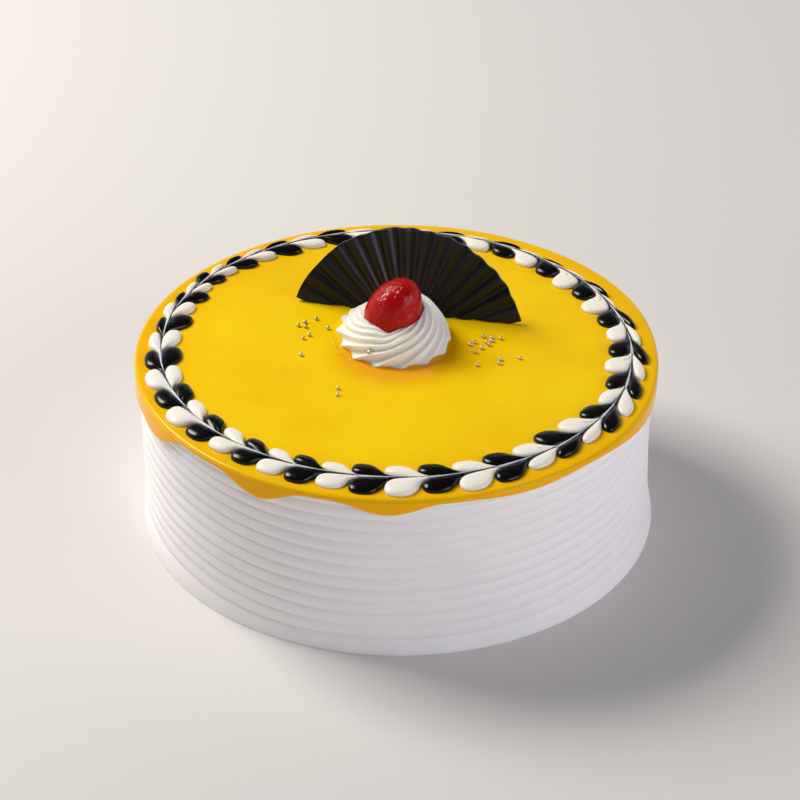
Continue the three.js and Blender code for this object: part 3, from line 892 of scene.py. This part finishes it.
def fan_points(columns, rows):
    along = np.array([math.cos(FAN_TURN), math.sin(FAN_TURN), 0])
    backwards = np.array([-math.sin(FAN_TURN), math.cos(FAN_TURN), 0])
    up = math.sin(FAN_LEAN) * backwards + np.array([0, 0, math.cos(FAN_LEAN)])
    through = np.cross(up, along)
    meeting = np.array([FAN_X, FAN_Y, TOP]) - FAN_BURIED * up
    across = np.linspace(0, 1, columns)[None, :]
    from_foot = np.linspace(0, 1, rows)[:, None]
    angle = np.radians(180 - FAN_END + (2 * FAN_END - 180) * across)
    nearest = FAN_BURIED / np.sin(angle)
    radius = nearest + (FAN_RADIUS - nearest) * from_foot
    swing = 2 * math.pi * PLEAT_COUNT * across
    grown = smoothstep(np.minimum(across, 1 - across), 0, PLEAT_START)
    fold = -np.cos(swing) * (1 - PLEAT_ROUNDNESS * np.cos(swing) ** 2) / (1 - PLEAT_ROUNDNESS) * grown
    offset = PLEAT_DEPTH * fold * radius / FAN_RADIUS
    unevenness = 1 - RIM_UNEVENNESS + RIM_UNEVENNESS * np.sin(5 * swing / PLEAT_COUNT) + 0 * from_foot
    points = meeting + (radius * unevenness * np.cos(angle))[..., None] * along
    points = points + (radius * unevenness * np.sin(angle))[..., None] * up
    points = points - offset[..., None] * through
    points[0, :, 2] = TOP
    return points


def sheet_faces(rows, columns):
    corners = [row * columns + column for row in range(rows - 1) for column in range(columns - 1)]
    return [(corner, corner + 1, corner + columns + 1, corner + columns) for corner in corners]


FAN_COLUMNS, FAN_ROWS = 12 * PLEAT_COUNT + 1, 24
fan_mesh = bpy.data.meshes.new("chocolate_fan_pleated")
folded = fan_points(FAN_COLUMNS, FAN_ROWS).reshape(-1, 3) * MM
fan_mesh.from_pydata(folded.tolist(), [], sheet_faces(FAN_ROWS, FAN_COLUMNS))
fan_mesh.materials.append(chocolate)
fan_mesh.shade_smooth()
fan = bpy.data.objects.new("chocolate_fan_pleated", fan_mesh)
bpy.context.scene.collection.objects.link(fan)
solidify = fan.modifiers.new("thickness", "SOLIDIFY")
solidify.thickness = FAN_THICKNESS * MM
solidify.offset = 0
bevel = fan.modifiers.new("soft_edge", "BEVEL")
bevel.width = 0.25 * MM
bevel.segments = 2
bevel.limit_method = "ANGLE"
bevel.angle_limit = math.radians(60)
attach(fan, "root")
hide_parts("chocolate_fan")
print("fan pleats:", PLEAT_COUNT)

# %% [markdown]
# ## The piped rosette
#
# A star nozzle turned once round leaves a low mound of cream whose ridges wind out from the
# middle like a whirl. A ridge is a sharp crest between two rounded hollows. Fresh piped cream is
# a little shinier than combed cream, because no tool has touched it since it left the nozzle.

# %% Shape of the rosette
CHERRY_RADIUS = 11.2
CHERRY_HEIGHT = 12.0
RIDGE_TIPS = 13
RIDGE_TWIST = 136.7
RIDGE_AT_CREST, RIDGE_AT_FOOT = 0.35, 1.4
RIDGE_SLANT = math.radians(37)
RIDGE_STEPS = 26  # facets from one ridge to the next
RIDGE_ROUNDING = 0.002
ROSETTE_SECTION = [(20, 0), (19.6, 1.4), (18.2, 5), (16, 8.6), (13.8, 11.2), (11.9, 12.2)]
# The piping ended on this side, where the crest is higher and the flank fuller; widths are powers
END_SIDE, END_RISE, END_BULGE, END_WIDTH = 40, 4.2, 2.4, 3
CLOSED_UP = 0.45  # the crest leans in against the cherry, twice as far where it is raised
# It began on this side, where the foot spreads
START_SIDE, START_SPREAD, START_WIDTH, START_DROP, START_TURN = 148, 5.8, 14, 0.3, 8
FOOT_SIDE, FOOT_SHIFT = -40, 0.9  # the foot lies a little toward this side
PRESSED_SIDE, PRESSED_DEPTH, PRESSED_WIDTH = -100, 1.8, 16  # where the cherry pressed the crest down
FOOT_CREAM = 1.3  # the pleats are this much deeper where the cream meets them than at the foot
SOCKET_ROOM = 0.1  # between the cherry and the cream, and from the crest to the ridges


def press_against_fan(points):
    backwards = np.array([-math.sin(FAN_TURN), math.cos(FAN_TURN)])
    pleats = FAN_THICKNESS / 2 + PLEAT_DEPTH * FAN_BURIED * FOOT_CREAM / FAN_RADIUS
    room = (FAN_X - ROSETTE_X) * backwards[0] + (FAN_Y - ROSETTE_Y) * backwards[1] - pleats - GAP
    beyond = np.maximum(0, points[..., 0] * backwards[0] + points[..., 1] * backwards[1] - room)
    points[..., 0] -= beyond * backwards[0]
    points[..., 1] -= beyond * backwards[1]
    return points


def rosette_skin():
    outside = through_points(ROSETTE_SECTION, 56)
    socket = CHERRY_RADIUS + SOCKET_ROOM
    sink = np.radians(np.linspace(76, 0, 10))
    inside = np.stack([socket * np.sin(sink), CHERRY_HEIGHT - socket * np.cos(sink)], axis=1)
    section = np.vstack([[[0, 0]], outside, inside])
    foot, crest, crest_height = ROSETTE_SECTION[0][0], ROSETTE_SECTION[-1][0], ROSETTE_SECTION[-1][1]
    radius, height = section[:, :1], section[:, 1:]
    steps = RIDGE_TIPS * RIDGE_STEPS
    column = -np.arange(steps)[None, ::-1] * 360 / steps
    outward = np.maximum(0, (radius - crest) / (foot - crest))
    sharp = np.sqrt(np.sin(np.radians(RIDGE_TIPS * column / 2)) ** 2 + RIDGE_ROUNDING)
    wave = 1 - 2 * sharp
    azimuth = column - RIDGE_TWIST * outward
    outside_socket = radius > crest - SOCKET_ROOM
    upward = np.where(outside_socket, height / crest_height, 0)
    ended = facing(azimuth, END_SIDE) ** END_WIDTH
    began = facing(azimuth, START_SIDE)
    shift = FOOT_SHIFT * np.cos(np.radians(azimuth - FOOT_SIDE))
    spread = outward * shift + outward**2 * START_SPREAD * began**START_WIDTH
    bulge = np.where(upward > 0, END_BULGE * ended * np.sin(math.pi * (1 + 4 * upward) / 6), 0)
    strength = RIDGE_AT_CREST + (RIDGE_AT_FOOT - RIDGE_AT_CREST) * outward**2
    ridge = np.where(outside_socket, strength * wave, 0)
    pressed = np.exp(-((((azimuth - PRESSED_SIDE + 180) % 360 - 180) / PRESSED_WIDTH) ** 2))
    lift = END_RISE * ended - START_DROP * began**4 - PRESSED_DEPTH * pressed
    closed_up = CLOSED_UP * (1 + ended) * smoothstep(upward, 0.85, 1)
    reach = radius + ridge * math.cos(RIDGE_SLANT) + spread + bulge - closed_up
    stands_up = ridge * math.sin(RIDGE_SLANT) * smoothstep(height, 0, 3)
    final = azimuth - START_TURN * outward * began**4
    points = round_points(reach, final, height + TOP + upward**2 * lift + stands_up)
    points = press_against_fan(points)
    points[..., 0] += ROSETTE_X
    points[..., 1] += ROSETTE_Y
    return points


piped_cream = whipped_cream("whipped_cream_piped", "#f3f0e8", "#edeae2", 0.45, 0.08, 0.55)
rosette = make_piece("piped_rosette", [knit(rosette_skin())], piped_cream)
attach(rosette, "root")
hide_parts("cream_rosette")

# %% [markdown]
# ## The candied cherry
#
# A cherry cooked in syrup keeps a firm, slightly dented skin under a wet coat of sugar. Most of
# its colour comes from light that has gone into the flesh, so the red is deep and a little
# brighter where the fruit is thin. The wet coat has small beads that the flesh hasn't, so it gets
# a finer bump of its own, and its highlights come out small, sharp and broken.

# %% Material: candied cherry
DENT = 4.5  # mm from dent to dent
SYRUP_BEAD = 1.1  # mm, the small beads and pits in the syrup


def candied_cherry():
    material = new_material("candied_cherry")
    place = add(material, "ShaderNodeTexCoord")
    flesh = add(
        material,
        "ShaderNodeTexNoise",
        {"Scale": 1 / (DENT * MM), "Detail": 3.0},
        {"Vector": place.outputs["Object"]},
    )
    beads = add(
        material,
        "ShaderNodeTexNoise",
        {"Scale": 1 / (SYRUP_BEAD * MM), "Detail": 2.0},
        {"Vector": place.outputs["Object"]},
    )
    colour = add(
        material,
        "ShaderNodeMix",
        {"data_type": "RGBA", 6: linear("#b60504"), 7: linear("#980303")},
        {0: flesh.outputs["Fac"]},
    )
    dents = add(
        material,
        "ShaderNodeBump",
        {"Strength": 0.45, "Distance": 0.6 * MM},
        {"Height": flesh.outputs["Fac"]},
    )
    where_beaded = add(
        material,
        "ShaderNodeMapRange",
        {"From Min": 0.44, "From Max": 0.58},
        {"Value": flesh.outputs["Fac"]},
    )
    beading = add(
        material,
        "ShaderNodeMath",
        {"operation": "MULTIPLY"},
        {0: beads.outputs["Fac"], 1: where_beaded.outputs["Result"]},
    )
    syrup = add(
        material,
        "ShaderNodeBump",
        {"Strength": 0.8, "Distance": 0.5 * MM},
        {"Height": beading.outputs["Value"], "Normal": dents.outputs["Normal"]},
    )
    finish_material(
        material,
        {
            "Roughness": 0.4,
            "IOR": 1.40,
            "Subsurface Weight": 0.1,
            "Subsurface Radius": (1.0, 0.08, 0.04),
            "Subsurface Scale": 2.0 * MM,
            "Specular IOR Level": 0.05,
            "Coat Weight": 0.45,
            "Coat Roughness": 0.05,
        },
        {
            "Base Color": colour.outputs[2],
            "Normal": dents.outputs["Normal"],
            "Coat Normal": syrup.outputs["Normal"],
        },
    )
    return material


cherry_skin_material = candied_cherry()

# %% Shape of the cherry
CHERRY_CROWN = 1.29
CHERRY_LEAN = 3.0
CHERRY_SHOULDER = 0.3  # how much fuller its upper half is on the right, as a power
CHERRY_DENT = 0.1  # how deep the flat on its upper half is, as a share of its radius
DENT_SIDE = 180
# Lumps on its upper half: their height as a share of the radius, how many go round, how they climb
LUMPS = [(0.012, 3, 4), (0.01, 5, -6)]


def cherry_skin():
    climb = np.radians(np.linspace(-90, 90, 72))[:, None]
    azimuth = np.arange(0, 360, 3.0)[None, :]
    up = np.maximum(0, np.sin(climb))
    dent = CHERRY_DENT * up * facing(azimuth, DENT_SIDE) ** 2
    fullness = np.sqrt(np.maximum(1e-4, 1 - up**2)) ** (-CHERRY_SHOULDER * facing(azimuth, DENT_SIDE + 180))
    lump = sum(size * np.sin(np.radians(count * azimuth) + rise * climb) for size, count, rise in LUMPS)
    lump = lump * smoothstep(np.sin(climb), 0.05, 0.4)
    radius = CHERRY_RADIUS * np.cos(climb) * (1 - dent) * fullness * (1 + lump)
    height = CHERRY_RADIUS * np.sin(climb) * np.where(up > 0, CHERRY_CROWN, 1)
    points = round_points(radius, azimuth, height + 0 * azimuth)
    points[..., 0] += CHERRY_LEAN * up**2
    return points + np.array([ROSETTE_X, ROSETTE_Y, TOP + CHERRY_HEIGHT])


cherry = make_piece("candied_cherry", [knit(cherry_skin())], cherry_skin_material)
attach(cherry, "root")
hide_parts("cherry")

# %% [markdown]
# ## Silver sugar balls
#
# A few sugar balls with a skin of edible silver lie scattered on the glaze in three small
# groups, each about a millimetre and a half across, with a larger one on the rosette. They are
# small enough for a plain ball to be right, as long as each is pressed a little into what it lies on.

# %% Material: silvered sugar
WEAR = 0.8  # mm, patches where the silver has been rubbed dull


def silvered_sugar():
    material = new_material("silvered_sugar")
    place = add(material, "ShaderNodeTexCoord")
    wear = add(
        material,
        "ShaderNodeTexNoise",
        {"Scale": 1 / (WEAR * MM), "Detail": 2.0},
        {"Vector": place.outputs["Object"]},
    )
    gloss = add(
        material,
        "ShaderNodeMapRange",
        {"To Min": 0.2, "To Max": 0.45},
        {"Value": wear.outputs["Fac"]},
    )
    finish_material(
        material,
        {"Base Color": linear("#cdc4a6"), "Metallic": 1.0},
        {"Roughness": gloss.outputs["Result"]},
    )
    return material


silver = silvered_sugar()

# %% Scatter the balls
BALL_RADIUS = 0.8
BALL_SINK = 0.25
ROSETTE_BALL_RADIUS = 1.1
ROSETTE_BALL_AZIMUTH, ROSETTE_BALL_DISTANCE, ROSETTE_BALL_HEIGHT = -119.2, 18.3, 4.3
# Where each ball fell on the glaze, from the middle of the cake
BALL_PLACES = [
    (-39.5, 18), (-37, 20.7), (-36.7, 17.2), (-32.7, 23.3), (-27.8, 16), (-35, 11),
    (-37.3, 8.5), (-37.7, -4), (-23, -28.2), (-23, -32.8), (33, 10.3), (36.3, 9.5),
    (36.3, 7.1), (39.8, 8.8), (34.2, 6), (35.2, 4.2), (29.5, 6), (27.7, 4.3),
    (32.2, 1.8), (29.5, -1.2), (46.7, -5.7), (39.3, -6.7), (38.7, -9.5), (30.2, -10.8),
]  # fmt: skip


def ball_skin(middle, size):
    climb = np.radians(np.linspace(-90, 90, 13))[:, None]
    azimuth = np.arange(0, 360, 18.0)[None, :]
    ball = round_points(size * np.cos(climb), azimuth, size * np.sin(climb) + 0 * azimuth)
    return knit(ball + np.array(middle))


ball_skins = [ball_skin((x, y, TOP + BALL_RADIUS - BALL_SINK), BALL_RADIUS) for x, y in BALL_PLACES]
on_rosette = round_points(ROSETTE_BALL_DISTANCE, ROSETTE_BALL_AZIMUTH, TOP + ROSETTE_BALL_HEIGHT)
ball_skins.append(ball_skin(on_rosette + [ROSETTE_X, ROSETTE_Y, 0], ROSETTE_BALL_RADIUS))
balls = make_piece("silver_balls", ball_skins, silver)
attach(balls, "root")

# %% [markdown]
# ## Floor and light
#
# The cake stands on a plain pale floor. One soft light comes from the back left, high enough to
# leave the front of the cake in gentle shade. A larger, weaker one from the front right and a pale
# surround fill that shade.

# %% A plain floor
FLOOR_HALF = 3.0  # m
floor_mesh = bpy.data.meshes.new("floor")
corners = [(FLOOR_HALF * x, FLOOR_HALF * y, 0) for x, y in ((-1, -1), (1, -1), (1, 1), (-1, 1))]
floor_mesh.from_pydata(corners, [], [(0, 1, 2, 3)])
floor = bpy.data.objects.new("floor", floor_mesh)
bpy.context.scene.collection.objects.link(floor)
pale = new_material("pale_floor")
finish_material(pale, {"Base Color": linear("#dcd9d5"), "Roughness": 0.6}, {})
floor_mesh.materials.append(pale)
print("floor is", 2 * FLOOR_HALF, "m wide")

# %% Lights


def softbox(name, azimuth, elevation, distance, size, power, colour):
    """A square soft light that looks at the cake: degrees, metres and watts."""
    light = bpy.data.lights.new(name, "AREA")
    light.shape = "SQUARE"
    light.size = size
    light.energy = power
    light.color = linear(colour)[:3]
    lamp = bpy.data.objects.new(name, light)
    turned, raised = math.radians(azimuth), math.radians(elevation)
    level = math.cos(raised)
    toward = Vector((math.cos(turned) * level, math.sin(turned) * level, math.sin(raised)))
    lamp.location = toward * distance
    lamp.rotation_euler = toward.to_track_quat("Z", "Y").to_euler()
    bpy.context.scene.collection.objects.link(lamp)
    print(name, "at", [round(c, 2) for c in lamp.location])


softbox("window", azimuth=148, elevation=45, distance=1.6, size=0.7, power=27, colour="#fffaf4")
softbox("front_fill", azimuth=-32, elevation=22, distance=3.0, size=2.0, power=38, colour="#f4f3ff")

world = bpy.data.worlds.new("pale_surround")
world.use_nodes = True
world.node_tree.nodes.clear()
direction = add(world, "ShaderNodeTexCoord")
height_of_ray = add(world, "ShaderNodeSeparateXYZ", {}, {"Vector": direction.outputs["Generated"]})
walls_to_ceiling = add(
    world,
    "ShaderNodeMapRange",
    {"From Min": 0.15, "From Max": 0.55, "To Min": 0.85, "To Max": 0.1, "interpolation_type": "SMOOTHSTEP"},
    {"Value": height_of_ray.outputs["Z"]},
)
surround = add(
    world,
    "ShaderNodeBackground",
    {"Color": linear("#eceef4")},
    {"Strength": walls_to_ceiling.outputs["Result"]},
)
add(world, "ShaderNodeOutputWorld", {}, {"Surface": surround.outputs["Background"]})
bpy.context.scene.world = world
bpy.context.scene.view_settings.view_transform = "Standard"
